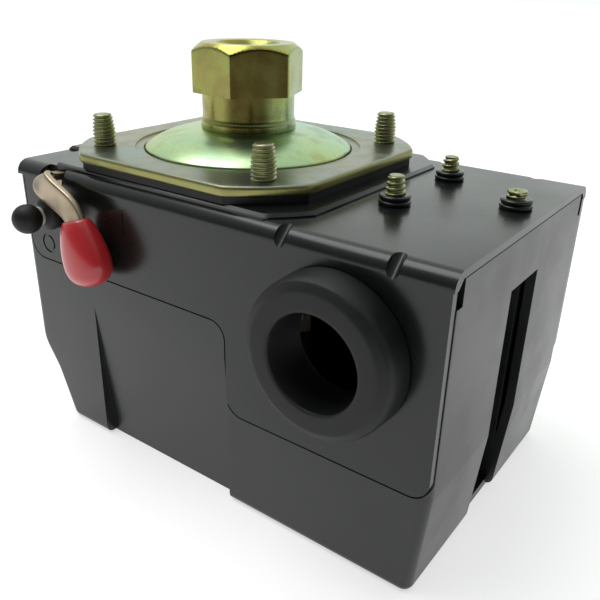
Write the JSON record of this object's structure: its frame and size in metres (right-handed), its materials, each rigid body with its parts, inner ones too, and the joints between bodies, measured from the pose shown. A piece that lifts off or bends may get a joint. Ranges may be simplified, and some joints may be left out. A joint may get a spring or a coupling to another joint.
{
  "type": "pressure switch",
  "caption": "Diaphragm pressure switch for an air compressor: box housing with top pressure port, side cable entries, on/off lever and unloader outlet.",
  "frame": {"origin": "where the axis of the pressure port meets the flat face of the cover that the switch stands on", "axes": "+Z along the port axis and out of its mouth, +X along the housing to the wiring end, -Y the side with the on/off lever"},
  "size_m": [0.11, 0.0845, 0.0926],
  "materials": {
    "black_paint": "gloss black stove paint",
    "zinc_plate": "yellow passivated zinc",
    "zinc_dome": "yellow passivated zinc, drawn",
    "zinc_fitting": "yellow passivated zinc, turned",
    "black_rubber": "moulded rubber",
    "zinc_screw": "yellow passivated zinc, rolled thread",
    "bright_steel": "bright zinc",
    "red_vinyl": "dipped, glossy",
    "brass": "pressed",
    "silver": "silver-faced",
    "white_nylon": "moulded",
    "terminal_moulding": "phenolic moulding",
    "spring_steel": "oiled spring steel",
    "valve_body": "acetal moulding",
    "cover_plastic": "satin black moulding"
  },
  "bodies": {
    "cover": {"cover": "cover_plastic", "cover_screws": "bright_steel"},
    "base": {"base_frame": "black_paint", "flange_plate": "zinc_plate", "pressure_dome": "zinc_dome", "port_fitting": "zinc_fitting", "diaphragm": "black_rubber", "flange_screws": "zinc_screw", "block_screws": "zinc_screw", "earth_screw": "zinc_screw", "earth_washer": "bright_steel", "cable_grommet_front": "black_rubber", "cable_grommet_rear": "black_rubber", "lever_bearing": "valve_body", "unloader_body": "valve_body", "unloader_spring": "spring_steel", "outlet_cap": "black_rubber", "pivot_bracket": "bright_steel", "pivot_pin": "bright_steel", "range_stud": "bright_steel", "range_spring_seat": "bright_steel", "range_spring": "spring_steel", "differential_stud": "bright_steel", "differential_spring_seat": "bright_steel", "differential_spring": "spring_steel", "carrier_pin": "bright_steel", "terminal_block": "terminal_moulding", "terminal_plate_1": "brass", "terminal_plate_2": "brass", "terminal_plate_3": "brass", "terminal_plate_4": "brass", "terminal_clamps": "bright_steel", "terminal_screws": "zinc_screw", "cover_standoffs": "bright_steel"},
    "piston": {"piston": "white_nylon"},
    "rocker": {"rocker": "bright_steel"},
    "contact_carrier": {"contact_carrier": "terminal_moulding", "contact_bridges": "silver"},
    "unloader_pin": {"unloader_pin": "brass"},
    "lever": {"lever": "bright_steel", "lever_tip": "red_vinyl", "lever_cam": "bright_steel"},
    "range_nut": {"range_nut": "bright_steel"},
    "differential_nut": {"differential_nut": "bright_steel"}
  },
  "joints": [
    {"name": "base_lift", "type": "slide", "parent": "cover", "child": "base", "axis": [0, 0, 1], "range_m": [0, 0.075]},
    {"name": "rocker_hinge", "type": "hinge", "parent": "base", "child": "rocker", "pos_m": [0.022, 0, 0.057], "axis": [0, -1, 0], "range_deg": [0, 3.12], "stiffness_Nm_per_rad": 2, "springref_deg": -2.86, "deforming": ["range_spring", "differential_spring"]},
    {"name": "piston_slide", "type": "slide", "parent": "base", "child": "piston", "axis": [0, 0, -1], "range_m": [0, 0.00125]},
    {"name": "carrier_hinge", "type": "hinge", "parent": "base", "child": "contact_carrier", "pos_m": [0.034, 0, 0.061], "axis": [0, 1, 0], "range_deg": [0, 8.1]},
    {"name": "unloader_pin_slide", "type": "slide", "parent": "base", "child": "unloader_pin", "axis": [0, 0, -1], "range_m": [0, 0.003], "deforming": ["unloader_spring"]},
    {"name": "lever_hinge", "type": "hinge", "parent": "base", "child": "lever", "pos_m": [-0.0293, 0, 0.0629], "axis": [0, -1, 0], "range_deg": [0, 30]},
    {"name": "range_nut_turn", "type": "hinge", "parent": "base", "child": "range_nut", "pos_m": [-0.021, 0, 0.024], "axis": [0, 0, 1], "continuous": true},
    {"name": "differential_nut_turn", "type": "hinge", "parent": "base", "child": "differential_nut", "pos_m": [0.0152, 0, 0.037], "axis": [0, 0, 1], "continuous": true}
  ],
  "couplings": [
    {"joint": "piston_slide", "follows": "rocker_hinge", "m_per_rad": 0.022},
    {"joint": "carrier_hinge", "follows": "rocker_hinge", "ratio": 2.56},
    {"joint": "unloader_pin_slide", "follows": "rocker_hinge", "m_per_rad": 0.053}
  ]
}
